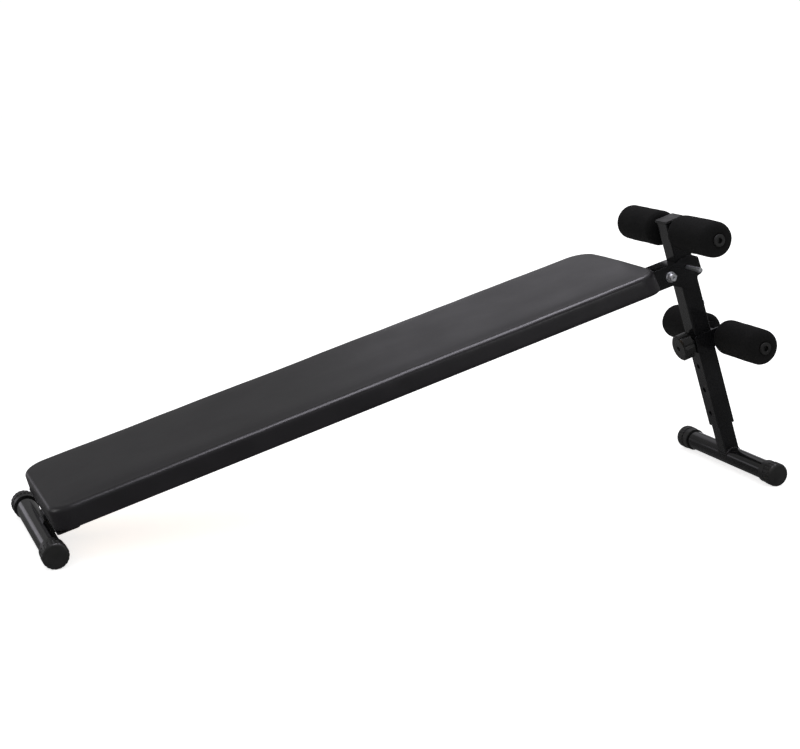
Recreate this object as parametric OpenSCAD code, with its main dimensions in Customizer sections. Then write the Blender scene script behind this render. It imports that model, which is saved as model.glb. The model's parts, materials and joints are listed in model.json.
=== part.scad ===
// Decline sit-up bench: a padded board on a sloping square tube, carried by a low floor tube at
// the head end and by a folding upright with four foam leg rollers at the foot end.
// Origin: on the floor, midway between the two floor tubes. +X runs uphill, +Z is up.

/* [Stance] */
// Distance between the axes of the two floor tubes
foot_spacing = 1393; // [1300:1:1450]
// Lean of the upright, from vertical towards the bench
lean = 18.4; // [17:0.1:20]
// Slope of the bench above level
slope = 16.85; // [16:0.05:17.5]
// Distance of the fold pivot from the front floor tube, measured along the upright
pivot_along = 411; // [400:1:420]
// Distance of the fold pivot in front of the upright's axis
pivot_ahead = 40.3; // [38:0.1:44]

/* [Tubes] */
// Side of the square main tube and of the upright
tube_w = 38; // [34:1:40]
// Side of the square leg tube that plugs into the upright
leg_w = 32; // [28:1:32]
// Wall of every square and round tube
wall = 2; // [1.5:0.1:2.5]
// Outside corner radius of the square tubes
tube_corner = 3; // [2:0.5:4]
// Radius of the round floor tubes
foot_r = 19; // [16:0.5:20]
// Overall length of a floor tube with its end caps
foot_len = 344; // [320:2:380]
// Radius of the roller bars
bar_r = 11; // [9:0.5:12]

/* [Pad] */
// Length of the pad
pad_len = 1188; // [1100:2:1195]
// Width of the pad
pad_w = 310; // [280:2:330]
// Thickness of the pad, board and cover included
pad_t = 42; // [36:1:50]
// Radius of the pad's corners, seen from above
pad_corner = 36; // [15:1:40]
// Distance from the fold pivot to the pad's uphill end
pad_setback = 79; // [76:1:85]

/* [Rollers] */
// Radius of a foam roller
roller_r = 35; // [30:1:38]
// Distance from the middle of the bench to a roller's inner end
roller_in = 34; // [30:1:40]
// Distance from the middle of the bench to a roller's outer end
roller_out = 169; // [150:1:170]
// Height of the upper roller bar along the upright
upper_bar_at = 490; // [480:1:495]
// Distance of the lower roller bar behind the upright's axis
lower_bar_back = 40; // [38:0.5:46]

/* [Adjustment] */
// Distance between neighbouring holes for the roller carriage
hole_pitch = 52; // [50:1:54]
// Number of holes for the roller carriage
hole_count = 4; // [3:1:4]
// Height of the lowest hole along the upright
hole_first = 102; // [98:1:108]

/* [Hidden] */

paint = "#1b1b1d";
plastic = "#242425";
foam = "#161616";
vinyl = "#2a2a2d";
zinc = "#c9ccd0";
ply = "#9a7b52";

half = tube_w / 2;
half_foot = foot_len / 2;
slack = 0.05;            // radial gap round a shaft that turns or slides in its bore
gap = 0.4;               // gap between flat faces that pass each other

// End caps of the floor tubes
cap_r = foot_r + 4.2;
cap_len = 38;
cap_end = 4;
cap_collar_r = cap_r - 1;
cap_collar_len = 15;
cap_flutes = 20;
cap_round = 5.5;         // rounding of the cap's outer end

// Fold pivot, in the bench's own plane
pivot_x = foot_spacing / 2 - pivot_ahead * cos(lean) - pivot_along * sin(lean);
pivot_z = cap_r - pivot_ahead * sin(lean) + pivot_along * cos(lean);
pivot_r = 5;
bush_r = 8;

// Low floor tube as seen from the pivot, along the bench and square to it
low_dx = -foot_spacing / 2 - pivot_x;
low_dz = cap_r - pivot_z;
low_run = low_dx * cos(slope) + low_dz * sin(slope);
low_drop = -low_dx * sin(slope) + low_dz * cos(slope);
main_end = -24;          // uphill end of the main tube, short of the lug's nose
main_start = low_run + 12;  // low end of the main tube, coped round the floor tube

// Pad, in bench coordinates
plate_t = 2.4;
plate_len = 40;
plate_at = [-1246, -698, -150];
plate_w = [298, 210, 210];
screw_y = 85;
screw_r = 3;
board_t = 12;
board_inset = 8;
pad_z = half + plate_t;
pad_x = -pad_setback - pad_len;

// Hinge bracket: two cheeks of 3 mm plate joined by a web over the main tube's end
cheek_t = 3;
cheek_in = half + gap;
cheek_out = cheek_in + cheek_t;
web_start = -62;
web_end = pivot_ahead - half - 1.2;
lug_r = 16;

// Lock pin, on the upright's axis
pin_r = 4.5;
pin_at = [pivot_ahead, 5];
pin_out = 44;
pin_head_r = 5.4;

// Upright and leg, measured along the upright from the front floor tube's axis
upright_low = 72.6;
upright_top = 512;
leg_top = 370;
leg_bolt_at = 330;
leg_bolt_r = 4;

// Roller carriage
carriage_at = hole_first + (hole_count - 1) * hole_pitch;
carriage_h = 35;
liner_t = 0.9;
sleeve_in = half + 0.3 + liner_t;
sleeve_out = sleeve_in + 2.6;
ear_r = carriage_h / 2;
lower_bar_at = carriage_at - 4;
index_r = 5.3;           // radius of the carriage's holes in the upright
knob_r = 26.5;
knob_lobes = 7;
knob_back = 9.5;         // from the upright's face to the grip's back
knob_hollow = 4.5;       // depth of the recess in the grip's face
knob_len = 23;
knob_screw_r = 4.2;
nut_out = half + 8.6;

// Points of an arc, as part of an outline
function arc(c, r, a0, a1, n = 8) =
    [for (i = [0:n]) c + r * [cos(a0 + (a1 - a0) * i / n), sin(a0 + (a1 - a0) * i / n)]];

// Outline of a rectangle with round corners, centred on the origin
function round_rect(w, h, r) = concat(
    arc([w / 2 - r, h / 2 - r], r, 0, 90),
    arc([r - w / 2, h / 2 - r], r, 90, 180),
    arc([r - w / 2, r - h / 2], r, 180, 270),
    arc([w / 2 - r, r - h / 2], r, 270, 360));

// Placement: bench coordinates have their origin on the pivot and +X along the bench,
// upright coordinates have theirs on the front floor tube's axis and +Z along the upright.
module on_bench() translate([pivot_x, 0, pivot_z]) rotate([0, -slope, 0]) children();
module on_upright() translate([foot_spacing / 2, 0, cap_r]) rotate([0, -lean, 0]) children();

// Cylinder along Y, from y0 to y1
module rod_y(r, y0, y1, fn = 48)
    translate([0, y1, 0]) rotate([90, 0, 0]) cylinder(r = r, h = y1 - y0, $fn = fn);

// Flat plate standing in the XZ plane, from y0 to y1
module plate_y(outline, y0, y1)
    translate([0, y1, 0]) rotate([90, 0, 0]) linear_extrude(y1 - y0) polygon(outline);

// Square tube along Z
module square_tube(w, len) difference() {
    linear_extrude(len) polygon(round_rect(w, w, tube_corner));
    translate([0, 0, -1])
        linear_extrude(len + 2) polygon(round_rect(w - 2 * wall, w - 2 * wall, tube_corner - 1));
}

// Floor tube along Y, open inside
module floor_tube() difference() {
    rod_y(foot_r, cap_end - half_foot, half_foot - cap_end, 96);
    rod_y(foot_r - wall, -half_foot, half_foot, 96);
}

// End cap of a floor tube: a smooth collar, a groove and a fluted tread with a rounded end;
// side is -1 near, 1 far
module foot_cap(side) mirror([0, side < 0 ? 1 : 0, 0]) {
    start = half_foot - cap_len;
    tread = start + cap_collar_len;
    outline = concat(
        [[0, start], [cap_collar_r, start], [cap_collar_r, tread],
         [cap_collar_r - 1.2, tread], [cap_collar_r - 1.2, tread + 2.2], [cap_r, tread + 2.2]],
        arc([cap_r - cap_round, half_foot - cap_round], cap_round, 0, 90, 5),
        [[0, half_foot]]);
    difference() {
        rotate([-90, 0, 0]) rotate_extrude($fn = 96) polygon(outline);
        rod_y(foot_r + 0.02, start - 1, half_foot - cap_end + 0.02, 96);
        for (i = [0:cap_flutes - 1])
            rotate([0, (i + 0.5) * 360 / cap_flutes, 0])
                translate([cap_r + 0.9, 0, 0]) rod_y(2.2, tread + 2.1, half_foot + 1, 24);
    }
}

// Hexagonal prism along Y, from y0 to y1, measured across its flats
module hex_y(flats, y0, y1)
    translate([0, y1, 0]) rotate([90, 0, 0]) cylinder(r = flats / sqrt(3), h = y1 - y0, $fn = 6);

// Foam roller along Y with rounded ends and a bore for its bar; side is -1 near, 1 far
module roller(side) {
    round_r = 13;
    outline = concat(
        [[bar_r + slack, roller_in], [roller_r - round_r, roller_in]],
        arc([roller_r - round_r, roller_in + round_r], round_r, -90, 0),
        arc([roller_r - round_r, roller_out - round_r], round_r, 0, 90),
        [[bar_r + slack, roller_out]]);
    color(foam) mirror([0, side < 0 ? 1 : 0, 0])
        rotate([-90, 0, 0]) rotate_extrude($fn = 72) polygon(outline);
}

// Roller bar along Y, a tube
module roller_bar() difference() {
    rod_y(bar_r, -roller_out, roller_out);
    rod_y(bar_r - 1.5, -roller_out - 1, roller_out + 1);
}

// Plastic plugs in both ends of a roller bar
module bar_plugs() for (side = [0, 1]) mirror([0, side, 0]) {
    difference() {
        union() {
            rod_y(bar_r - 1.55, roller_out - 14, roller_out);
            rod_y(bar_r + 1, roller_out, roller_out + 1.4);
            translate([0, roller_out + 1.4, 0]) rotate([-90, 0, 0])
                cylinder(r1 = bar_r + 1, r2 = bar_r - 0.4, h = 1.1, $fn = 48);
        }
        rod_y(bar_r / 2, roller_out - 5, roller_out + 3);
    }
}

// ---- Frame -------------------------------------------------------------------------------

// Its low end is coped round the floor tube and closed above it by a welded plate
module main_tube() color(paint) on_bench() difference() {
    union() {
        translate([main_start, 0, 0]) rotate([0, 90, 0]) square_tube(tube_w, main_end - main_start);
        translate([main_start, wall / 2 - half, wall / 2 - half])
            cube([wall, tube_w - wall, tube_w - wall]);
    }
    translate([low_run, 0, low_drop]) rod_y(foot_r + 0.05, -half - 1, half + 1, 96);
}

module low_foot_tube() color(paint) translate([-foot_spacing / 2, 0, cap_r]) floor_tube();
module low_foot_cap_near() color(plastic) translate([-foot_spacing / 2, 0, cap_r]) foot_cap(-1);
module low_foot_cap_far() color(plastic) translate([-foot_spacing / 2, 0, cap_r]) foot_cap(1);

// Flat bars welded across the main tube, which the board is screwed to
module pad_plates() color(paint) on_bench()
    for (i = [0:2]) translate([plate_at[i], 0, half]) difference() {
        linear_extrude(plate_t) polygon(round_rect(plate_len, plate_w[i], 6));
        for (side = [-1, 1]) translate([0, side * screw_y, -1])
            cylinder(r = screw_r + 0.3, h = plate_t + 2, $fn = 32);
    }

module pad_board() color(ply) on_bench() translate([pad_x + pad_len / 2, 0, pad_z]) difference() {
    linear_extrude(board_t) polygon(round_rect(
        pad_len - 2 * board_inset, pad_w - 2 * board_inset, pad_corner - board_inset));
    for (x = plate_at, side = [-1, 1])
        translate([x - pad_x - pad_len / 2, side * screw_y, -1])
            cylinder(r = screw_r + slack, h = board_t - 2, $fn = 32);
}

module pad_screws() color(zinc) on_bench()
    for (x = plate_at, side = [-1, 1]) translate([x, side * screw_y, half]) {
        translate([0, 0, -3.2]) cylinder(r1 = 4.6, r2 = 6, h = 1.2, $fn = 48);
        translate([0, 0, -2]) cylinder(r = 6, h = 2, $fn = 48);
        translate([0, 0, -1]) cylinder(r = screw_r, h = plate_t + board_t - 4, $fn = 32);
    }

// Foam and vinyl cover, wrapped down round the board
module pad_cushion() color(vinyl) on_bench() translate([pad_x + pad_len / 2, 0, pad_z]) difference() {
    linear_extrude(pad_t) polygon(round_rect(pad_len, pad_w, pad_corner));
    translate([0, 0, -1]) linear_extrude(board_t + 1) polygon(round_rect(
        pad_len - 2 * board_inset, pad_w - 2 * board_inset, pad_corner - board_inset));
}

// The near cheek rises to a tall ear that carries the lock pin, the far cheek is lower
cheek_foot = concat([[web_start, -half]], arc([-1, -half - 9], 9, 90, 60, 3));
ear_low = concat(
    arc([24, -22], 9, 225, 245, 3),
    arc([46, -34], 8, 250, 350),
    [[58, -19]]);
near_cheek = concat(cheek_foot, ear_low,
    arc([64, -11], 6, 270, 360), arc([62.5, 15], 6, 0, 45, 4), arc([52, 21.5], 6, 45, 90, 4),
    [[30, 27], [web_end, half + cheek_t], [web_start, half + cheek_t]]);
far_cheek = concat(cheek_foot, ear_low,
    arc([54, 2], 11, -30, 75, 8), [[web_end, half + cheek_t], [web_start, half + cheek_t]]);

module hinge_bracket() color(paint) on_bench() difference() {
    union() {
        plate_y(near_cheek, -cheek_out, -cheek_in);
        plate_y(far_cheek, cheek_in, cheek_out);
        translate([web_start, -cheek_in - 0.5, half])
            cube([web_end - web_start, 2 * cheek_in + 1, cheek_t]);
    }
    rod_y(pivot_r + slack, -cheek_out - 1, cheek_out + 1);
    bench_pin() rod_y(pin_r + 0.1, -cheek_out - 1, cheek_out + 1);
}

// Lock pin's axis, in bench coordinates
module bench_pin() rotate([0, slope - lean, 0]) translate([pin_at[0], 0, pin_at[1]]) children();

// Bolt with its head on the far side, a lock nut on the near side and a key's socket in its tip
module pivot_bolt() color(zinc) on_bench() difference() {
    union() {
        rod_y(pivot_r, -cheek_out - 12.5, cheek_out + 2.1);
        hex_y(16, cheek_out + 2, cheek_out + 8);
    }
    hex_y(5, -cheek_out - 14, -cheek_out - 8);
}

module pivot_washers() color(zinc) on_bench()
    for (y = [-cheek_out - 2, cheek_out]) difference() {
        rod_y(10.6, y, y + 2);
        rod_y(pivot_r + 0.3, y - 1, y + 3);
    }

module pivot_nut() color(zinc) on_bench() difference() {
    union() {
        hex_y(17, -cheek_out - 9, -cheek_out - 2);
        translate([0, -cheek_out - 9, 0]) rotate([90, 0, 0])
            cylinder(r1 = 8.3, r2 = 6.6, h = 3.5, $fn = 48);
    }
    rod_y(pivot_r + 0.02, -cheek_out - 14, -cheek_out - 1);
}

// Drawn back, so that only its nose stands in the near cheek
module lock_pin() color(zinc) on_bench() bench_pin() {
    head = -cheek_out - pin_out;
    nose = -cheek_in - 0.1;
    rod_y(pin_r, head, nose - 1);
    translate([0, nose - 1, 0]) rotate([-90, 0, 0])
        cylinder(r1 = pin_r, r2 = pin_r - 1, h = 1, $fn = 48);
    rod_y(pin_head_r, head - 4, head + 1);
    translate([0, head - 4, 0]) rotate([90, 0, 0])
        cylinder(r1 = pin_head_r, r2 = pin_head_r - 2, h = 1.6, $fn = 48);
}

// ---- Upright -----------------------------------------------------------------------------

module upright_tube() color(paint) on_upright() difference() {
    translate([0, 0, upright_low]) square_tube(tube_w, upright_top - upright_low);
    translate([0, 0, upper_bar_at]) rod_y(bar_r + 0.05, -half - 1, half + 1);
    translate([0, 0, pivot_along + pin_at[1]]) rod_y(pin_r + 0.5, -half - 1, half + 1);
    for (i = [0:hole_count - 1])
        translate([-half - 1, 0, hole_first + i * hole_pitch]) rotate([0, 90, 0])
            cylinder(r = index_r, h = wall + 2, $fn = 48);
    translate([half - wall - 1, 0, leg_bolt_at]) rotate([0, 90, 0])
        cylinder(r = leg_bolt_r + 0.3, h = wall + 2, $fn = 48);
}

module upright_top_cap() color(plastic) on_upright() translate([0, 0, upright_top]) {
    flange = tube_w + 5;
    linear_extrude(3) polygon(round_rect(flange, flange, 4));
    translate([0, 0, 3]) linear_extrude(1.4) polygon(round_rect(flange - 3, flange - 3, 3));
    skirt = tube_w - 2 * wall - 0.2;
    translate([0, 0, -10]) difference() {
        linear_extrude(10) polygon(round_rect(skirt, skirt, 2.4));
        translate([0, 0, -1]) linear_extrude(9) polygon(round_rect(skirt - 4, skirt - 4, 1));
    }
}

// Nose welded to the upright's front face, which turns on the pivot bolt
module pivot_lug() color(paint) on_upright() translate([-pivot_ahead, 0, pivot_along]) difference() {
    union() {
        rod_y(lug_r, -half + 0.4, half - 0.4, 72);
        translate([0, 0.4 - half, -lug_r]) cube([pivot_ahead - half, tube_w - 0.8, 2 * lug_r]);
    }
    rod_y(bush_r + 0.02, -half - 1, half + 1);
}

module pivot_bush() color("#b9bcc0") on_upright() translate([-pivot_ahead, 0, pivot_along]) difference() {
    rod_y(bush_r, -half, half);
    rod_y(pivot_r + slack, -half - 1, half + 1);
}

module leg_tube() color(paint) on_upright() difference() {
    square_tube(leg_w, leg_top);
    rod_y(foot_r + 0.05, -half, half, 96);
    for (i = [0:hole_count - 1])
        translate([-leg_w / 2 - 1, 0, hole_first + i * hole_pitch]) rotate([0, 90, 0])
            cylinder(r = index_r, h = wall + 2, $fn = 48);
    translate([leg_w / 2 - wall - 1, 0, leg_bolt_at]) rotate([0, 90, 0])
        cylinder(r = leg_bolt_r + 0.02, h = wall + 2, $fn = 48);
}

// Bolt from behind that holds the leg tube in the upright
module leg_bolt() color(zinc) on_upright() translate([half, 0, leg_bolt_at]) rotate([0, 90, 0]) {
    cylinder(r = 8.5, h = 1.6, $fn = 48);
    translate([0, 0, 1.5]) cylinder(r = 13 / sqrt(3), h = 5.3, $fn = 6);
    translate([0, 0, -10]) cylinder(r = leg_bolt_r, h = 11, $fn = 48);
}

module front_foot_tube() color(paint) translate([foot_spacing / 2, 0, cap_r]) floor_tube();
module front_foot_cap_near() color(plastic) translate([foot_spacing / 2, 0, cap_r]) foot_cap(-1);
module front_foot_cap_far() color(plastic) translate([foot_spacing / 2, 0, cap_r]) foot_cap(1);

module upper_bar() color(paint) on_upright() translate([0, 0, upper_bar_at]) roller_bar();
module upper_bar_plugs() color(plastic) on_upright() translate([0, 0, upper_bar_at]) bar_plugs();
module upper_roller_near() on_upright() translate([0, 0, upper_bar_at]) roller(-1);
module upper_roller_far() on_upright() translate([0, 0, upper_bar_at]) roller(1);

// ---- Roller carriage ---------------------------------------------------------------------

// Sleeve round the upright with two ears that hold the lower roller bar
module roller_carriage() color(paint) on_upright() translate([0, 0, carriage_at - carriage_h / 2])
difference() {
    union() {
        linear_extrude(carriage_h) polygon(round_rect(2 * sleeve_out, 2 * sleeve_out, 3));
        for (y = [-sleeve_out, sleeve_in]) translate([0, y, 0]) {
            cube([lower_bar_back, sleeve_out - sleeve_in, carriage_h]);
            translate([lower_bar_back, 0, carriage_h / 2]) rod_y(ear_r, 0, sleeve_out - sleeve_in, 72);
        }
    }
    translate([0, 0, -1]) linear_extrude(carriage_h + 2) polygon(round_rect(2 * sleeve_in, 2 * sleeve_in, 2));
    translate([lower_bar_back, 0, carriage_h / 2 + lower_bar_at - carriage_at])
        rod_y(bar_r + 0.02, -sleeve_out - 1, sleeve_out + 1);
    translate([-sleeve_out - 1, 0, carriage_h / 2]) rotate([0, 90, 0])
        cylinder(r = knob_screw_r + 0.3, h = 5, $fn = 48);
}

// Plastic liner inside the sleeve, which slides on the upright
module carriage_liner() color(plastic) on_upright() translate([0, 0, carriage_at - carriage_h / 2 + 1])
difference() {
    linear_extrude(carriage_h - 2) polygon(round_rect(2 * sleeve_in - 0.04, 2 * sleeve_in - 0.04, 2));
    translate([0, 0, -1]) linear_extrude(carriage_h) polygon(round_rect(tube_w + 0.6, tube_w + 0.6, 3));
    translate([-sleeve_in - 1, 0, carriage_h / 2 - 1]) rotate([0, 90, 0])
        cylinder(r = knob_screw_r + 0.4, h = 4, $fn = 48);
}

// Threaded nut welded on the front of the sleeve, for the knob's screw
module carriage_nut() color(zinc) on_upright() translate([-nut_out, 0, carriage_at]) rotate([0, 90, 0])
difference() {
    cylinder(r = 9, h = nut_out - sleeve_out, $fn = 48);
    translate([0, 0, -1]) cylinder(r = knob_screw_r + slack, h = 10, $fn = 48);
}

module lower_bar() color(paint) on_upright() translate([lower_bar_back, 0, lower_bar_at]) roller_bar();
module lower_bar_plugs() color(plastic) on_upright() translate([lower_bar_back, 0, lower_bar_at]) bar_plugs();
module lower_roller_near() on_upright() translate([lower_bar_back, 0, lower_bar_at]) roller(-1);
module lower_roller_far() on_upright() translate([lower_bar_back, 0, lower_bar_at]) roller(1);

// Lobed grip, hollow at the back so that it closes over the nut
module knob_grip() color(plastic) on_upright()
translate([-half - knob_back, 0, carriage_at]) rotate([0, -90, 0]) difference() {
    union() {
        cylinder(r = knob_r, h = knob_len - 3, $fn = 96);
        translate([0, 0, knob_len - 3]) cylinder(r1 = knob_r, r2 = knob_r - 4, h = 3, $fn = 96);
    }
    for (i = [0:knob_lobes - 1])
        rotate((i + 0.5) * 360 / knob_lobes) translate([knob_r + 6.5, 0, -1])
            cylinder(r = 8.5, h = knob_len + 2, $fn = 48);
    translate([0, 0, -1]) cylinder(r = 10.5, h = 8, $fn = 48);
    translate([0, 0, knob_len - knob_hollow]) cylinder(r = 5, h = knob_hollow + 1, $fn = 48);
    translate([0, 0, 6]) cylinder(r = knob_screw_r + 0.02, h = knob_len - knob_hollow - 7.48, $fn = 48);
}

// Screw moulded into the grip; its plain nose drops into a hole of the upright
module knob_screw() color(zinc) on_upright()
translate([-half - knob_back, 0, carriage_at]) rotate([0, -90, 0]) {
    translate([0, 0, 0.4 - knob_back]) cylinder(r1 = knob_screw_r - 0.8, r2 = knob_screw_r, h = 0.8, $fn = 48);
    translate([0, 0, 1.2 - knob_back])
        cylinder(r = knob_screw_r, h = knob_back + knob_len - knob_hollow - 2.7, $fn = 48);
}

main_tube();
low_foot_tube();
low_foot_cap_near();
low_foot_cap_far();
pad_plates();
pad_board();
pad_screws();
pad_cushion();
hinge_bracket();
pivot_bolt();
pivot_washers();
pivot_nut();
lock_pin();
upright_tube();
upright_top_cap();
pivot_lug();
pivot_bush();
leg_tube();
leg_bolt();
front_foot_tube();
front_foot_cap_near();
front_foot_cap_far();
upper_bar();
upper_bar_plugs();
upper_roller_near();
upper_roller_far();
roller_carriage();
carriage_liner();
carriage_nut();
lower_bar();
lower_bar_plugs();
lower_roller_near();
lower_roller_far();
knob_grip();
knob_screw();
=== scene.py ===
import json
import math
import random

import bmesh
import bpy
from mathutils import Matrix, Vector, kdtree, noise


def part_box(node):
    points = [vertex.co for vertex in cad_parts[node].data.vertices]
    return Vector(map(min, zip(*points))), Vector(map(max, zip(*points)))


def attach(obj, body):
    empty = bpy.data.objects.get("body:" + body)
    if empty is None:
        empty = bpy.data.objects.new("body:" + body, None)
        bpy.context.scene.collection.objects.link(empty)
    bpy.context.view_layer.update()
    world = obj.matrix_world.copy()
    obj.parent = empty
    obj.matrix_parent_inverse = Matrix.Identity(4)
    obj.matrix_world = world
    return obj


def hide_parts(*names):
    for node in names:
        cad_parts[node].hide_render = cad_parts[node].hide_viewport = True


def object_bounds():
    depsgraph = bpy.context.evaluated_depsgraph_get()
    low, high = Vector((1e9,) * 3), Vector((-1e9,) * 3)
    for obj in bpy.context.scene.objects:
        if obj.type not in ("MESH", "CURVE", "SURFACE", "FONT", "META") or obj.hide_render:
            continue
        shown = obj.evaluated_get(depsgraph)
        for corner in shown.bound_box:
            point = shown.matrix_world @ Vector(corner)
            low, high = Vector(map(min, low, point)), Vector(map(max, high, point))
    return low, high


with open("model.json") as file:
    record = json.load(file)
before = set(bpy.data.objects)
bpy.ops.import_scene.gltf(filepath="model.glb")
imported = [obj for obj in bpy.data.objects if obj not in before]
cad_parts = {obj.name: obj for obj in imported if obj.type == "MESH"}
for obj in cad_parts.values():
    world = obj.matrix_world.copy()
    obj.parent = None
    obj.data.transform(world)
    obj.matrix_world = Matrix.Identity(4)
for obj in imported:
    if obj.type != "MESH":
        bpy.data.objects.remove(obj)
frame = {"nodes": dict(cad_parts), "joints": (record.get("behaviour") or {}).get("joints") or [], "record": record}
cad_low, cad_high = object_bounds()

# Looks of the decline sit-up bench. Lengths are metres in the CAD frame, +X uphill and +Z up.
MM = 0.001
SLOPE = math.radians(16.85)      # of the bench above level
LEAN = math.radians(18.4)        # of the upright from vertical, towards the bench
ACROSS = Vector((0, 1, 0))


# ---- Places, read from the frame ---------------------------------------------------------

def joint_place(name):
    return Vector(next(j for j in frame["joints"] if j["name"] == name)["pos_m"])


def middle(node):
    low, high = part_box(node)
    return (low + high) / 2


def placed(origin, turn):
    """A frame at origin whose +X points turn radians above level."""
    return Matrix.Translation(origin) @ Matrix.Rotation(-turn, 4, "Y")


BENCH = placed(joint_place("fold"), SLOPE)                 # +X along the bench, +Z out of the pad
UPRIGHT = placed(middle("front_foot_tube"), LEAN)          # +Z along the upright


def box_in(place, node):
    """Lowest and highest corner of a CAD node, in the coordinates of place."""
    inverse = place.inverted()
    points = [inverse @ v.co for v in frame["nodes"][node].data.vertices]
    return (Vector([min(p[i] for p in points) for i in range(3)]),
            Vector([max(p[i] for p in points) for i in range(3)]))


# ---- Materials ---------------------------------------------------------------------------

def add_node(tree, kind, sockets=(), **settings):
    """A shader node; sockets maps input names to values or to outputs that feed them."""
    made = tree.nodes.new(kind)
    for key, value in settings.items():
        setattr(made, key, value)
    for key, value in dict(sockets).items():
        if isinstance(value, bpy.types.NodeSocket):
            tree.links.new(value, made.inputs[key])
        else:
            made.inputs[key].default_value = value
    return made


def add_ramp(tree, value, *stops):
    """A ramp of value through (position, colour) stops."""
    ramp = add_node(tree, "ShaderNodeValToRGB", {"Fac": value})
    elements = ramp.color_ramp.elements
    while len(elements) < len(stops):
        elements.new(1)
    for element, (position, shade) in zip(elements, stops):
        element.position = position
        element.color = (*shade, 1)
    return ramp.outputs["Color"]


def add_range(tree, value, low, high, to_low=0.0, to_high=1.0):
    """value, clamped to low to high, spread over to_low to to_high."""
    return add_node(tree, "ShaderNodeMapRange", {
        "Value": value, "From Min": low, "From Max": high,
        "To Min": to_low, "To Max": to_high}).outputs["Result"]


class Surface:
    """A procedural material, built up from object coordinates in metres."""

    def __init__(self, name, constants=()):
        self.material = bpy.data.materials.new(name)
        self.material.use_nodes = True
        self.tree = self.material.node_tree
        self.shader = self.tree.nodes["Principled BSDF"]
        self.height = None
        self.place = add_node(self.tree, "ShaderNodeTexCoord").outputs["Object"]
        for key, value in dict(constants).items():
            self.shader.inputs[key].default_value = value

    def stretched(self, turn, stretch):
        """Object coordinates turned about Y and scaled, for grain that runs one way."""
        turned = add_node(self.tree, "ShaderNodeMapping",
                          {"Vector": self.place, "Rotation": (0, turn, 0)})
        return add_node(self.tree, "ShaderNodeMapping",
                        {"Vector": turned.outputs[0], "Scale": stretch}).outputs[0]

    def noise(self, scale, detail=3, place=None):
        return add_node(self.tree, "ShaderNodeTexNoise", {
            "Vector": place or self.place, "Scale": scale, "Detail": detail}).outputs["Fac"]

    def cells(self, scale, feature="F1", place=None):
        return add_node(self.tree, "ShaderNodeTexVoronoi", {
            "Vector": place or self.place, "Scale": scale},
            feature=feature).outputs["Distance"]

    def spread(self, value, low, high):
        """value, a field of about 0.3 to 0.7, spread over low to high."""
        return add_range(self.tree, value, 0.3, 0.7, low, high)

    def colour(self, value, *stops):
        """Base colour from a field, through (position, colour) stops."""
        self.tree.links.new(add_ramp(self.tree, value, *stops), self.shader.inputs["Base Color"])

    def roughness(self, value, low, high):
        self.tree.links.new(self.spread(value, low, high), self.shader.inputs["Roughness"])

    def rounded(self, radius):
        """Softens the look of sharp edges to that radius in metres; comes before any bump."""
        self.height = add_node(self.tree, "ShaderNodeBevel", {"Radius": radius},
                               samples=6).outputs["Normal"]
        self.tree.links.new(self.height, self.shader.inputs["Normal"])

    def bump(self, value, depth, strength=1.0):
        """Adds relief of that depth in metres on top of any earlier relief."""
        sockets = {"Height": value, "Distance": depth, "Strength": strength}
        if self.height:
            sockets["Normal"] = self.height
        self.height = add_node(self.tree, "ShaderNodeBump", sockets).outputs["Normal"]
        self.tree.links.new(self.height, self.shader.inputs["Normal"])


def grey(value, tint=0.0):
    """A dark grey, a little bluer by tint."""
    return (value, value, value * (1 + tint))


def make_paint():
    """Gloss black stove enamel: faint orange peel and a soft variation of its gloss."""
    s = Surface("gloss_black_paint")
    s.rounded(0.55 * MM)
    s.colour(s.noise(18), (0.35, grey(0.0045, 0.1)), (0.7, grey(0.0075, 0.1)))
    s.roughness(s.noise(26, 4), 0.10, 0.18)
    s.bump(s.noise(80, 2), 0.08 * MM, 0.25)
    return s.material


def make_cap_plastic():
    """Moulded black plastic with a fine spark-eroded grain."""
    s = Surface("moulded_black_plastic")
    s.rounded(0.6 * MM)
    s.colour(s.noise(35, 5), (0.3, grey(0.007)), (0.7, grey(0.013)))
    s.roughness(s.noise(60, 5), 0.34, 0.5)
    s.bump(s.noise(1500, 3), 0.10 * MM, 0.6)
    return s.material


def make_knob_plastic():
    """Smoother, shinier plastic with faint flow marks."""
    s = Surface("gloss_black_plastic")
    s.rounded(0.8 * MM)
    s.colour(s.noise(40), (0.3, grey(0.006)), (0.7, grey(0.010)))
    s.roughness(s.noise(80, 4), 0.2, 0.34)
    s.bump(s.noise(260, 3), 0.04 * MM, 0.4)
    return s.material


def make_zinc():
    """Bright zinc plate: turned steel with cloudy passivation and fine scratches."""
    s = Surface("bright_zinc_plate", {"Metallic": 1.0})
    s.rounded(0.5 * MM)
    s.colour(s.noise(220, 5), (0.25, (0.62, 0.64, 0.70)), (0.5, (0.78, 0.79, 0.82)),
             (0.75, (0.90, 0.90, 0.90)))
    s.roughness(s.noise(500, 4), 0.30, 0.48)
    s.bump(s.noise(900, 2, s.stretched(0, (1, 0.05, 1))), 0.03 * MM, 0.5)
    return s.material


def make_plywood():
    """Birch plywood: long streaks of grain, pale with brown pores."""
    s = Surface("birch_plywood")
    grain = s.stretched(SLOPE, (1, 14, 14))
    s.colour(s.noise(7, 6, grain), (0.25, (0.24, 0.14, 0.07)), (0.5, (0.46, 0.31, 0.17)),
             (0.75, (0.60, 0.44, 0.27)))
    s.roughness(s.noise(30, 4, grain), 0.6, 0.8)
    s.bump(s.noise(40, 5, grain), 0.15 * MM, 0.5)
    return s.material


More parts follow.
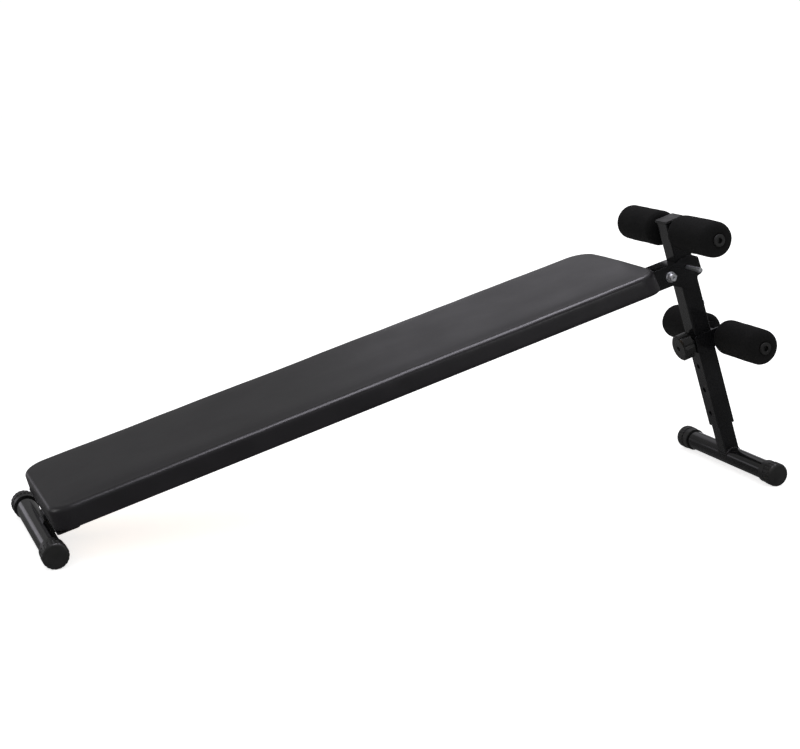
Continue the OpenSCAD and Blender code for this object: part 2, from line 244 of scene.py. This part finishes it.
def make_vinyl():
    """Black upholstery vinyl: shallow pebbled grain over slow waves in the gloss."""
    s = Surface("black_vinyl")
    s.colour(s.noise(12, 4), (0.3, (0.0070, 0.0062, 0.0080)), (0.7, (0.0105, 0.0092, 0.0118)))
    s.roughness(s.noise(9, 5), 0.32, 0.40)
    s.bump(s.cells(520, "SMOOTH_F1"), 0.16 * MM, 0.32)
    s.bump(s.noise(1600, 3), 0.05 * MM, 0.3)
    return s.material


def make_foam():
    """Extruded black foam: matte skin with small open pores."""
    s = Surface("black_foam", {
        "Sheen Weight": 0.008, "Sheen Roughness": 0.6, "Specular IOR Level": 0.12})
    s.colour(s.cells(700), (0.0, grey(0.0015)), (0.35, grey(0.0035)), (0.8, grey(0.006)))
    s.roughness(s.noise(300, 4), 0.86, 0.98)
    s.bump(s.cells(760), 0.5 * MM, 0.7)
    s.bump(s.noise(160, 4), 0.4 * MM, 0.4)
    return s.material


def make_thread():
    """Zinc plate cut with a fine thread along the screw's own axis."""
    s = Surface("zinc_thread", {"Metallic": 1.0, "Roughness": 0.3})
    s.colour(s.noise(300, 4), (0.3, (0.42, 0.44, 0.48)), (0.7, (0.68, 0.69, 0.71)))
    wave = add_node(s.tree, "ShaderNodeTexWave", {
        "Vector": s.stretched(LEAN, (1, 1, 1)), "Scale": 240}, bands_direction="X")
    s.bump(wave.outputs["Fac"], 0.4 * MM, 0.9)
    return s.material


MATERIALS = {
    "paint": make_paint(), "cap_plastic": make_cap_plastic(),
    "knob_plastic": make_knob_plastic(), "zinc": make_zinc(), "board": make_plywood(),
    "vinyl": make_vinyl(), "foam": make_foam()}


def dress_cad_nodes():
    """Every CAD node takes the material of its slot in the record."""
    for part in frame["record"]["subparts"]:
        mesh = frame["nodes"][part["node"]].data
        mesh.materials.clear()
        mesh.materials.append(MATERIALS[part["material_slot"]])
    screw = frame["nodes"]["knob_screw"].data
    screw.materials.clear()
    screw.materials.append(make_thread())


# ---- Mesh helpers ------------------------------------------------------------------------

def round_outline(length, width, radii, counts):
    """Anticlockwise points of a rounded rectangle round the origin. radii are those of the
    corners at its +X and its -X end. counts are the points along a long side, a short side and
    a corner, so outlines of any size join up point for point."""
    along, across, corner = counts
    corners = []
    for turn, (sx, sy) in enumerate(((1, 1), (-1, 1), (-1, -1), (1, -1))):
        radius = radii[0] if sx > 0 else radii[1]
        centre = Vector((sx * (length / 2 - radius), sy * (width / 2 - radius), 0))
        angles = [(turn + i / (corner - 1)) * math.pi / 2 for i in range(corner)]
        corners.append([centre + Vector((math.cos(a), math.sin(a), 0)) * radius for a in angles])
    points = []
    for turn, arc in enumerate(corners):
        count = along if turn % 2 == 0 else across
        start, end = arc[-1], corners[(turn + 1) % 4][0]
        points += arc + [start.lerp(end, i / (count + 1)) for i in range(1, count + 1)]
    return points


def loft(bm, rings, first_cap=True, last_cap=True):
    """Skins closed rings of equal length, one to the next."""
    made = [[bm.verts.new(p) for p in ring] for ring in rings]
    for lower, upper in zip(made, made[1:]):
        for i in range(len(lower)):
            j = (i + 1) % len(lower)
            bm.faces.new((lower[i], lower[j], upper[j], upper[i]))
    if first_cap:
        bm.faces.new(list(reversed(made[0])))
    if last_cap:
        bm.faces.new(made[-1])
    return made


def add_piece(name, bm, place, body, slot):
    """A new mesh object from bm, in the coordinates of place, riding on body."""
    mesh = bpy.data.meshes.new(name)
    bmesh.ops.recalc_face_normals(bm, faces=bm.faces)
    bm.to_mesh(mesh)
    bm.free()
    mesh.shade_smooth()
    mesh.materials.append(MATERIALS[slot])
    piece = bpy.data.objects.new(name, mesh)
    bpy.context.scene.collection.objects.link(piece)
    piece.matrix_world = place
    if body:
        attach(piece, body)
    return piece


def settled(piece):
    """The mesh of piece with its modifiers worked in."""
    graph = bpy.context.evaluated_depsgraph_get()
    return bpy.data.meshes.new_from_object(piece.evaluated_get(graph))


# ---- Pad ---------------------------------------------------------------------------------

PAD_SLIM = 1.2 * MM          # the cover starts this much inside the pad's sides, and swells
PAD_SINK = 1.4 * MM          # and this much below its top
PAD_CAP = 5.0 * MM           # furthest that the foam may push the cover
PAD_CORNERS = (37 * MM, 29 * MM)     # radii of the corners, uphill and low end
PAD_CORNER_GAIN = 14 * MM    # how much rounder the corners are at the top rim
PAD_BOW = 4.5 * MM           # how far the uphill end's corners stand back from its middle
PAD_TOP_ROUND = 9 * MM
PAD_LOW_ROUND = 4 * MM
PAD_COUNTS = (210, 52, 14)   # points along a long side, a short side and a corner
BLANK_COUNTS = (60, 16, 8)   # the same for the blank that the cloth starts from
PAD_CORE = 14 * MM           # depth of the foam's core, from which it pushes outwards
PAD_SPINE = 14 * MM          # half width of the strip left open along the middle of the top
SWELL_VOXEL = 6.5 * MM
SWELL_PRESSURE = 0.2
SWELL_STIFFNESS = 2
SWELL_STEPS = 20
BOARD_INSET = 8 * MM
BOARD_CORNER = 28 * MM
HEM_WIDTH = 29 * MM
HEM_T = 0.9 * MM

pad_low, pad_high = box_in(BENCH, "pad_cushion")
board_high = box_in(BENCH, "pad_board")[1]
pad_size = pad_high - pad_low
pad_centre = (pad_low + pad_high) / 2
PAD = BENCH @ Matrix.Translation(pad_centre)       # +Z out of the pad, origin at its middle


def pad_ring(inset, height, counts=PAD_COUNTS):
    """The pad's outline drawn in by inset, at a height from the pad's middle."""
    rise = height / pad_size.z + 0.5
    radii = [max(r + PAD_CORNER_GAIN * rise - inset, 1.5 * MM) for r in PAD_CORNERS]
    outline = round_outline(pad_size.x - 2 * inset, pad_size.y - 2 * inset, radii, counts)
    for p in outline:
        uphill = min(max(p.x / (pad_size.x / 2) * 6 - 5, 0), 1)
        p.x -= PAD_BOW * rise * uphill * (2 * p.y / pad_size.y) ** 2
        p.z = height
    return outline


def board_ring(inset, height):
    """The board's own outline, drawn in by inset from the pad's."""
    radius = max(BOARD_CORNER + BOARD_INSET - inset, 1.5 * MM)
    outline = round_outline(pad_size.x - 2 * inset, pad_size.y - 2 * inset, (radius, radius),
                            PAD_COUNTS)
    return [p + Vector((0, 0, height)) for p in outline]


def quarter(inset, height, radius, turn, steps):
    """(inset, height) pairs along a quarter round, starting at turn quarters."""
    return [(inset - radius * math.cos((turn + i / steps) * math.pi / 2),
             height + radius * math.sin((turn + i / steps) * math.pi / 2))
            for i in range(steps + 1)]


def pad_skin_profile():
    """(inset, height) pairs of the skin from the low edge, up the side and over the top."""
    low, high = -pad_size.z / 2, pad_size.z / 2 - PAD_SINK
    below = quarter(PAD_SLIM + PAD_LOW_ROUND, low + PAD_LOW_ROUND, PAD_LOW_ROUND, -1, 4)
    above = quarter(PAD_SLIM + PAD_TOP_ROUND, high - PAD_TOP_ROUND, PAD_TOP_ROUND, 0, 9)
    start, end = below[-1][1], above[0][1]
    side = [(PAD_SLIM, start + (end - start) * i / 6) for i in range(1, 6)]
    reach = pad_size.y / 2 - PAD_SPINE - PAD_TOP_ROUND
    inner = [(PAD_SLIM + PAD_TOP_ROUND + reach * (i / 16) ** 1.5, high) for i in range(1, 17)]
    return below + side + above + inner


def swell_field():
    """How far the foam pushes each point of the cover, by cloth simulation: (start, motion)."""
    bm = bmesh.new()
    loft(bm, [pad_ring(inset, height, BLANK_COUNTS) for inset, height in pad_skin_profile()])
    blank = add_piece("pad_blank", bm, Matrix.Identity(4), None, "vinyl")
    remesh = blank.modifiers.new("voxels", "REMESH")
    remesh.mode = "VOXEL"
    remesh.voxel_size = SWELL_VOXEL
    blank.data = settled(blank)
    blank.modifiers.clear()
    start = [v.co.copy() for v in blank.data.vertices]
    floor = min(p.z for p in start) + 1.5 * MM
    pinned = blank.vertex_groups.new(name="pinned")
    pinned.add([i for i, p in enumerate(start) if p.z < floor], 1.0, "REPLACE")
    cloth = blank.modifiers.new("swell", "CLOTH")
    cloth.settings.use_pressure = True
    cloth.settings.uniform_pressure_force = SWELL_PRESSURE
    cloth.settings.bending_stiffness = SWELL_STIFFNESS
    cloth.settings.vertex_group_mass = "pinned"
    cloth.settings.effector_weights.gravity = 0
    cloth.point_cache.frame_end = SWELL_STEPS
    for step in range(1, SWELL_STEPS + 1):
        bpy.context.scene.frame_set(step)
    motion = [v.co - p for v, p in zip(settled(blank).vertices, start)]
    bpy.context.scene.frame_set(1)
    bpy.data.objects.remove(blank)
    return start, motion


def outward(p):
    """The way out of the foam at p, a point of the skin."""
    core = [min(max(p[i], PAD_CORE - pad_size[i] / 2), pad_size[i] / 2 - PAD_CORE)
            for i in range(3)]
    return (p - Vector(core)).normalized()


def swollen(p, push):
    """p pushed out by the foam, which never lets the cover in. It eases towards PAD_CAP."""
    way = outward(p)
    return p + way * PAD_CAP * math.tanh(max(push.dot(way), 0) / PAD_CAP)


def make_pad():
    """The cover: skin, rolled hem under the board and the pocket that the board fills."""
    start, motion = swell_field()
    tree = kdtree.KDTree(len(start))
    for i, p in enumerate(start):
        tree.insert(p, i)
    tree.balance()
    skin = pad_skin_profile()
    low = -pad_size.z / 2
    pocket_top = board_high.z - pad_centre.z
    pocket = [(BOARD_INSET - 0.2 * MM, pocket_top), (BOARD_INSET - 0.2 * MM, low - 0.05 * MM),
              (HEM_WIDTH, low - 0.05 * MM), (HEM_WIDTH + 0.3 * MM, low - HEM_T / 2),
              (HEM_WIDTH - 0.2 * MM, low - HEM_T), (HEM_WIDTH / 2, low - HEM_T),
              (BOARD_INSET, low - HEM_T)]
    rings = [board_ring(inset, height) for inset, height in pocket]
    for ring, (inset, _) in zip(rings, pocket):
        if inset > HEM_WIDTH - MM:
            trim_hem(ring)
    for inset, height in skin:
        ring = []
        for p in pad_ring(inset, height):
            near = tree.find_n(p, 24)
            share = [1 / (distance + 6 * MM) for _, _, distance in near]
            push = sum((motion[i] * s for (_, i, _), s in zip(near, share)), Vector()) / sum(share)
            rise = min(max((p.z - low) / (10 * MM), 0), 1)
            ring.append(p.lerp(swollen(p, push), rise) + unevenness(p) * rise)
        rings.append(ring)
    bm = bmesh.new()
    loft(bm, rings)
    pad = add_piece("pad_cover", bm, PAD, "frame", "vinyl")
    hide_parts("pad_cushion")


def unevenness(p):
    """Slow waves of the foam, under a millimetre, and short puckers on the corners' sides."""
    wave = noise.noise(Vector((p.x * 7, p.y * 9, 3.1))) * 0.8 * MM
    edge = min(pad_size.x / 2 - abs(p.x), pad_size.y / 2 - abs(p.y))
    rim = max(0, 1 - edge / (30 * MM)) * noise.noise(Vector((p.x * 22, p.y * 22, 7.7))) * 0.5 * MM
    return Vector((0, math.copysign(rim, p.y) if p.z < pad_size.z / 4 else 0, wave + rim))


def trim_hem(ring):
    """Makes the hem's inner edge a hand-cut one."""
    for p in ring:
        cut = noise.noise(Vector((p.x * 30, p.y * 30, 1.3))) * 3 * MM
        p.x -= math.copysign(cut, p.x)
        p.y -= math.copysign(cut, p.y)


def make_staples():
    """Wire staples through the hem into the board, a little askew."""
    rng = random.Random(12)
    wire, crown, pitch = 0.5 * MM, 11 * MM, 44 * MM
    line = board_ring(18 * MM, 0)
    bm = bmesh.new()
    travelled = 0
    for here, after in zip(line, line[1:] + line[:1]):
        travelled += (after - here).length
        if travelled < pitch:
            continue
        travelled = 0
        direction = (after - here).normalized()
        turn = math.atan2(direction.y, direction.x) + rng.uniform(-0.25, 0.25)
        at = here + Vector((0, 0, -pad_size.z / 2 - HEM_T - wire * 0.4))
        place = Matrix.Translation(at) @ Matrix.Rotation(turn, 4, "Z")
        ends = [Vector((-crown / 2, 0, 1.1 * MM)), Vector((-crown / 2 + 0.4 * MM, 0, 0.1 * MM)),
                Vector((-crown / 2 + 1.2 * MM, 0, 0)), Vector((crown / 2 - 1.2 * MM, 0, 0)),
                Vector((crown / 2 - 0.4 * MM, 0, 0.1 * MM)), Vector((crown / 2, 0, 1.1 * MM))]
        rings = []
        for p in ends:
            rings.append([place @ (p + Vector((0, s * wire, t * wire / 2)))
                          for s, t in ((1, 1), (1, -1), (-1, -1), (-1, 1))])
        loft(bm, rings)
    add_piece("pad_staples", bm, PAD, "frame", "zinc")


# ---- Foam rollers ------------------------------------------------------------------------

def make_roller(node, body, bar):
    """A foam sleeve with a soft skin: rounded ends, and dimples where the plug presses in."""
    low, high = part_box(node)
    radius = (high.z - low.z) / 2
    bar_low, bar_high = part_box(bar)
    bore = (bar_high.z - bar_low.z) / 2 + 0.1 * MM
    length = high.y - low.y
    facing = 1 if high.y > 0 else -1
    outer_round, inner_round = 17 * MM, 12 * MM
    dimple = 14 * MM
    profile = [(bore, 0), (bore + 4 * MM, 0.2 * MM)]
    profile += [(radius - inner_round * (1 - math.sin(a)), inner_round * (1 - math.cos(a)))
                for a in (i * math.pi / 16 for i in range(0, 9))]
    profile += [(radius, inner_round + (length - inner_round - outer_round) * i / 30)
                for i in range(1, 30)]
    profile += [(radius - outer_round * (1 - math.cos(a)), length - outer_round * (1 - math.sin(a)))
                for a in (i * math.pi / 20 for i in range(0, 11))]
    profile += [(dimple + 1.5 * MM, length - 0.2 * MM), (dimple - 1 * MM, length - 0.9 * MM),
                (bore, length - 1.2 * MM)]
    seed = Vector((low.x * 50, facing * 9, low.z * 50))
    rings = []
    steps = 96
    for r, y in profile:
        ring = []
        for i in range(steps):
            angle = i * math.tau / steps
            spot = Vector((math.cos(angle) * r, y, math.sin(angle) * r))
            soft = min(max((r - bore - 2 * MM) / (10 * MM), 0), 1)
            dent = noise.noise(spot * 34 + seed) * 0.7
            dent += noise.noise(spot * 160 + seed) * 0.25 - 0.5
            turned = r + dent * MM * soft
            ring.append(Vector((math.cos(angle) * turned, facing * (y - length / 2),
                                math.sin(angle) * turned)))
        rings.append(ring)
    bm = bmesh.new()
    made = loft(bm, rings, first_cap=False, last_cap=False)
    for i in range(steps):
        j = (i + 1) % steps
        bm.faces.new((made[-1][i], made[-1][j], made[0][j], made[0][i]))
    sleeve = add_piece(node + "_foam", bm, Matrix.Translation((low + high) / 2), body, "foam")
    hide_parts(node)


# ---- Welds -------------------------------------------------------------------------------

def resampled(points, closed, step):
    """Points a step apart along the path."""
    path = points + points[:1] if closed else points
    lengths = [(b - a).length for a, b in zip(path, path[1:])]
    count = max(4, round(sum(lengths) / step))
    made, piece, before = [], 0, 0
    for k in range(count if closed else count + 1):
        at = sum(lengths) * k / count
        while piece < len(lengths) - 1 and at > before + lengths[piece]:
            before += lengths[piece]
            piece += 1
        share = (at - before) / max(lengths[piece], 1e-9)
        made.append(path[piece].lerp(path[piece + 1], min(share, 1)))
    return made


def bead(bm, points, radius, up, closed=False):
    """A weld bead along points: a fat thread with one ripple for each drop of metal."""
    ripple, sides = 2.3 * MM, 8
    step = ripple / 5
    path = resampled(points, closed, step)
    count = len(path)
    rings = []
    for k, p in enumerate(path):
        before = path[k - 1] if closed or k else p
        after = path[(k + 1) % count] if closed or k < count - 1 else p
        along = (after - before).normalized()
        side = along.cross(up).normalized()
        over = side.cross(along)
        swell = 0.88 + 0.2 * abs(math.sin(math.pi * k * step / ripple))
        swell += 0.12 * noise.noise(p * 300)
        if not closed:
            swell *= min(1, 0.35 + min(k, count - 1 - k) / 4)
        rings.append([p + (side * math.cos(a) + over * math.sin(a)) * radius * swell
                      for a in (i * math.tau / sides for i in range(sides))])
    if not closed:
        loft(bm, rings)
        return
    loft(bm, rings + rings[:1], first_cap=False, last_cap=False)
    bmesh.ops.remove_doubles(bm, verts=bm.verts, dist=1e-7)


def ring_points(centre, radius, axis_u, axis_v, count=48):
    angles = [i * math.tau / count for i in range(count)]
    return [centre + (axis_u * math.cos(a) + axis_v * math.sin(a)) * radius for a in angles]


def weld_foot_to_leg():
    """Round the foot of the leg, where the square tube sits on the round one."""
    leg_low, leg_high = box_in(UPRIGHT, "leg_tube")
    foot_low, foot_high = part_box("front_foot_tube")
    foot_r = (foot_high.z - foot_low.z) / 2
    width = leg_high.x - leg_low.x
    outline = round_outline(width, width, (3 * MM, 3 * MM), (16, 16, 6))
    points = [Vector((p.x, p.y, math.sqrt(foot_r ** 2 - p.x ** 2))) for p in outline]
    bm = bmesh.new()
    bead(bm, points, 2.0 * MM, Vector((0, 0, 1)), closed=True)
    add_piece("weld_leg_foot", bm, UPRIGHT, "upright", "paint")


def weld_main_tube():
    """The saddle on the low floor tube, the cross plates and the back of the hinge bracket."""
    low, high = box_in(BENCH, "main_tube")
    half = (high.y - low.y) / 2
    foot = BENCH.inverted() @ middle("low_foot_tube")
    foot_low, foot_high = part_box("low_foot_tube")
    foot_r = (foot_high.z - foot_low.z) / 2
    top, steps = foot.z + math.sqrt(foot_r ** 2 - (low.x - foot.x) ** 2), 12

    def saddle(y, z):
        return Vector((foot.x + math.sqrt(max(foot_r ** 2 - (z - foot.z) ** 2, 0)), y, z))

    heights = [top + (-half - top) * i / steps for i in range(steps + 1)]
    points = [saddle(-half, z) for z in heights]
    points += [saddle(-half + 2 * half * i / steps, -half) for i in range(1, steps)]
    points += [saddle(half, z) for z in reversed(heights)]
    points += [saddle(half - 2 * half * i / steps, top) for i in range(1, steps)]
    bm = bmesh.new()
    bead(bm, points, 1.8 * MM, Vector((1, 0, 0)), closed=True)
    plates_low, plates_high = box_in(BENCH, "pad_plates")
    plate_len = 40 * MM
    inner = (plates_low.x + plates_high.x) / 2
    for centre in (plates_low.x + plate_len / 2, inner, plates_high.x - plate_len / 2):
        for side in (-1, 1):
            reach = plate_len / 2 - 4 * MM
            ends = [Vector((centre + s * reach, side * (half + 0.4 * MM), half - 0.4 * MM))
                    for s in (-1, 1)]
            bead(bm, ends, 1.5 * MM, Vector((0, 0, 1)))
    back = box_in(BENCH, "hinge_bracket")[0].x - 0.3 * MM
    for side in (-1, 1):
        y = side * (half + 1.4 * MM)
        ends = [Vector((back, y, -half + 3 * MM)), Vector((back, y, half - 2 * MM))]
        bead(bm, ends, 1.6 * MM, ACROSS)
    bead(bm, [Vector((back, s * (half - 3 * MM), half + 1.2 * MM)) for s in (-1, 1)], 1.6 * MM,
         Vector((0, 0, 1)))
    add_piece("weld_main_tube", bm, BENCH, "frame", "paint")


def weld_upright():
    """Round the upper roller bar, and above and below the pivot lug."""
    half = box_in(UPRIGHT, "upright_tube")[1].y
    bar = UPRIGHT.inverted() @ middle("upper_bar")
    bar_low, bar_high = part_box("upper_bar")
    bar_r = (bar_high.z - bar_low.z) / 2
    bm = bmesh.new()
    for side in (-1, 1):
        centre = Vector((bar.x, side * (half + 0.3 * MM), bar.z))
        bead(bm, ring_points(centre, bar_r + 0.4 * MM, Vector((1, 0, 0)), Vector((0, 0, 1))),
             1.5 * MM, ACROSS, closed=True)
    lug_low, lug_high = box_in(UPRIGHT, "pivot_lug")
    for z in (lug_low.z - 0.3 * MM, lug_high.z + 0.3 * MM):
        bead(bm, [Vector((-half - 0.3 * MM, s * (half - 4 * MM), z)) for s in (-1, 1)],
             1.6 * MM, Vector((1, 0, 0)))
    add_piece("weld_upright", bm, UPRIGHT, "upright", "paint")


def weld_carriage():
    """Round the lower roller bar at both ears, and round the knob's nut."""
    low, high = box_in(UPRIGHT, "roller_carriage")
    bar = UPRIGHT.inverted() @ middle("lower_bar")
    bar_low, bar_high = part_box("lower_bar")
    bar_r = (bar_high.z - bar_low.z) / 2
    bm = bmesh.new()
    for side in (-1, 1):
        centre = Vector((bar.x, side * (high.y + 0.2 * MM), bar.z))
        bead(bm, ring_points(centre, bar_r + 0.4 * MM, Vector((1, 0, 0)), Vector((0, 0, 1))),
             1.4 * MM, ACROSS, closed=True)
    nut_low, nut_high = box_in(UPRIGHT, "carriage_nut")
    centre = Vector((low.x, 0, (nut_low.z + nut_high.z) / 2))
    bead(bm, ring_points(centre, nut_high.y, Vector((0, 1, 0)), Vector((0, 0, 1))),
         0.9 * MM, Vector((1, 0, 0)), closed=True)
    add_piece("weld_carriage", bm, UPRIGHT, "carriage", "paint")


# ---- Studio ------------------------------------------------------------------------------

def make_floor():
    """A wide pale light table, so that shadows stay faint. The gloss of the bench sees it dark in
    front and grey behind, as if black flags stood round the bench."""
    bm = bmesh.new()
    bmesh.ops.create_circle(bm, cap_ends=True, segments=96, radius=14)
    mesh = bpy.data.meshes.new("studio_floor")
    bm.to_mesh(mesh)
    bm.free()
    s = Surface("pale_floor", {"Roughness": 0.9, "Specular IOR Level": 0.0,
                               "Emission Color": (1, 1, 1, 1), "Emission Strength": 0.74})
    s.colour(s.noise(0.6), (0.3, (0.90, 0.90, 0.90)), (0.7, (0.93, 0.93, 0.93)))
    spot = add_node(s.tree, "ShaderNodeSeparateXYZ", {"Vector": s.place})
    behind = add_range(s.tree, spot.outputs["Y"], 0.0, 0.7, 0.08, 0.22)
    glow = add_node(s.tree, "ShaderNodeEmission", {"Color": (1, 1, 1, 1), "Strength": behind})
    seen = add_node(s.tree, "ShaderNodeLightPath").outputs["Is Glossy Ray"]
    mix = add_node(s.tree, "ShaderNodeMixShader")
    s.tree.links.new(seen, mix.inputs[0])
    s.tree.links.new(s.shader.outputs[0], mix.inputs[1])
    s.tree.links.new(glow.outputs[0], mix.inputs[2])
    s.tree.links.new(mix.outputs[0], s.tree.nodes["Material Output"].inputs["Surface"])
    mesh.materials.append(s.material)
    floor = bpy.data.objects.new("studio_floor", mesh)
    bpy.context.scene.collection.objects.link(floor)
    floor.location.z = cad_low.z - 0.2 * MM


def make_world():
    """White to the camera; to everything else a dim room, brighter overhead."""
    world = bpy.data.worlds.new("studio")
    bpy.context.scene.world = world
    world.use_nodes = True
    tree = world.node_tree
    tree.nodes.clear()
    direction = add_node(tree, "ShaderNodeTexCoord").outputs["Generated"]
    height = add_node(tree, "ShaderNodeSeparateXYZ", {"Vector": direction}).outputs["Z"]
    shade = add_ramp(tree, add_range(tree, height, -1.0, 1.0),
                     (0, grey(0.12)), (0.45, grey(0.12)), (0.6, grey(0.21)), (0.72, grey(0.26)),
                     (0.85, grey(0.3)), (1, grey(0.4)))
    room = add_node(tree, "ShaderNodeBackground", {"Color": shade, "Strength": 1.0})
    white = add_node(tree, "ShaderNodeBackground", {"Color": (1, 1, 1, 1), "Strength": 1.02})
    seen = add_node(tree, "ShaderNodeLightPath").outputs["Is Camera Ray"]
    mix = add_node(tree, "ShaderNodeMixShader")
    tree.links.new(seen, mix.inputs[0])
    tree.links.new(room.outputs[0], mix.inputs[1])
    tree.links.new(white.outputs[0], mix.inputs[2])
    output = add_node(tree, "ShaderNodeOutputWorld")
    tree.links.new(mix.outputs[0], output.inputs["Surface"])


def add_light(name, kind, at, aim, energy, **settings):
    light = bpy.data.lights.new(name, kind)
    light.energy = energy
    for key, value in settings.items():
        setattr(light, key, value)
    lamp = bpy.data.objects.new(name, light)
    bpy.context.scene.collection.objects.link(lamp)
    lamp.location = at
    lamp.rotation_euler = (Vector(aim) - Vector(at)).to_track_quat("-Z", "Y").to_euler()
    return lamp


def add_card(name, at, aim, size, radiance, tint=(1, 1, 1)):
    """A softbox of that radiance, seen only in the gloss of things."""
    card = add_light(name, "AREA", at, aim, radiance * math.pi * size[0] * size[1],
                     shape="RECTANGLE", size=size[0], size_y=size[1], color=tint)
    card.visible_diffuse = False


def make_lights():
    """An even soft sky for the diffuse light, and softboxes for the highlights."""
    centre = (cad_low + cad_high) / 2
    cap = middle("upright_top_cap")
    sky = add_light("sky", "SUN", (-1, -0.5, 6), centre, 1.15, angle=math.radians(165))
    sky.visible_glossy = False
    lavender = (0.93, 0.90, 1.0)
    add_card("overhead_softbox", centre + Vector((0.2, -0.2, 2.1)), centre, (2.8, 0.8), 7.5, lavender)
    add_card("left_softbox", (-3.2, 0.6, 0.9), centre, (0.9, 1.4), 2.5)
    add_card("front_softbox", (1.3, -2.7, 0.7), centre, (0.5, 0.5), 6)
    add_card("back_softbox", cap + Vector((0.5, 2.6, 1.05)), cap, (1.4, 0.9), 0.32, lavender)
    add_card("backdrop_left", (-2.3, 3.0, 0.35), (-2.3, 0, 0.35), (1.8, 0.62), 0.75, lavender)
    add_card("backdrop_right", (2.0, 3.0, 0.35), (2.0, 0, 0.35), (2.4, 0.62), 0.8, lavender)


def make_camera():
    """The reference view: from the near side of the low end, a little above the pad."""
    at = Vector((-1.108, -2.7605, 0.8654))
    yaw, pitch, roll = math.radians(21.847), math.radians(-11.997), math.radians(0.195)
    forward = Vector((math.sin(yaw) * math.cos(pitch), math.cos(yaw) * math.cos(pitch),
                      math.sin(pitch)))
    level = Vector((math.cos(yaw), -math.sin(yaw), 0))
    raised = level.cross(forward)
    right = level * math.cos(roll) + raised * math.sin(roll)
    up = raised * math.cos(roll) - level * math.sin(roll)
    data = bpy.data.cameras.new("camera")
    data.sensor_width = 36
    data.lens = 73.67
    data.shift_x = -0.0157
    data.shift_y = 0.0058
    camera = bpy.data.objects.new("camera", data)
    bpy.context.scene.collection.objects.link(camera)
    axes = Matrix((right, up, -forward)).transposed().to_4x4()
    camera.matrix_world = Matrix.Translation(at) @ axes
    bpy.context.scene.camera = camera


# ---- Scene -------------------------------------------------------------------------------

make_camera()
make_world()
make_lights()
make_floor()
dress_cad_nodes()
make_pad()
make_staples()
for level, bar in (("upper", "upper_bar"), ("lower", "lower_bar")):
    for side in ("near", "far"):
        make_roller(f"{level}_roller_{side}", f"{level}_{side}_roller", bar)
weld_foot_to_leg()
weld_main_tube()
weld_upright()
weld_carriage()
bpy.context.scene.view_settings.view_transform = "Standard"
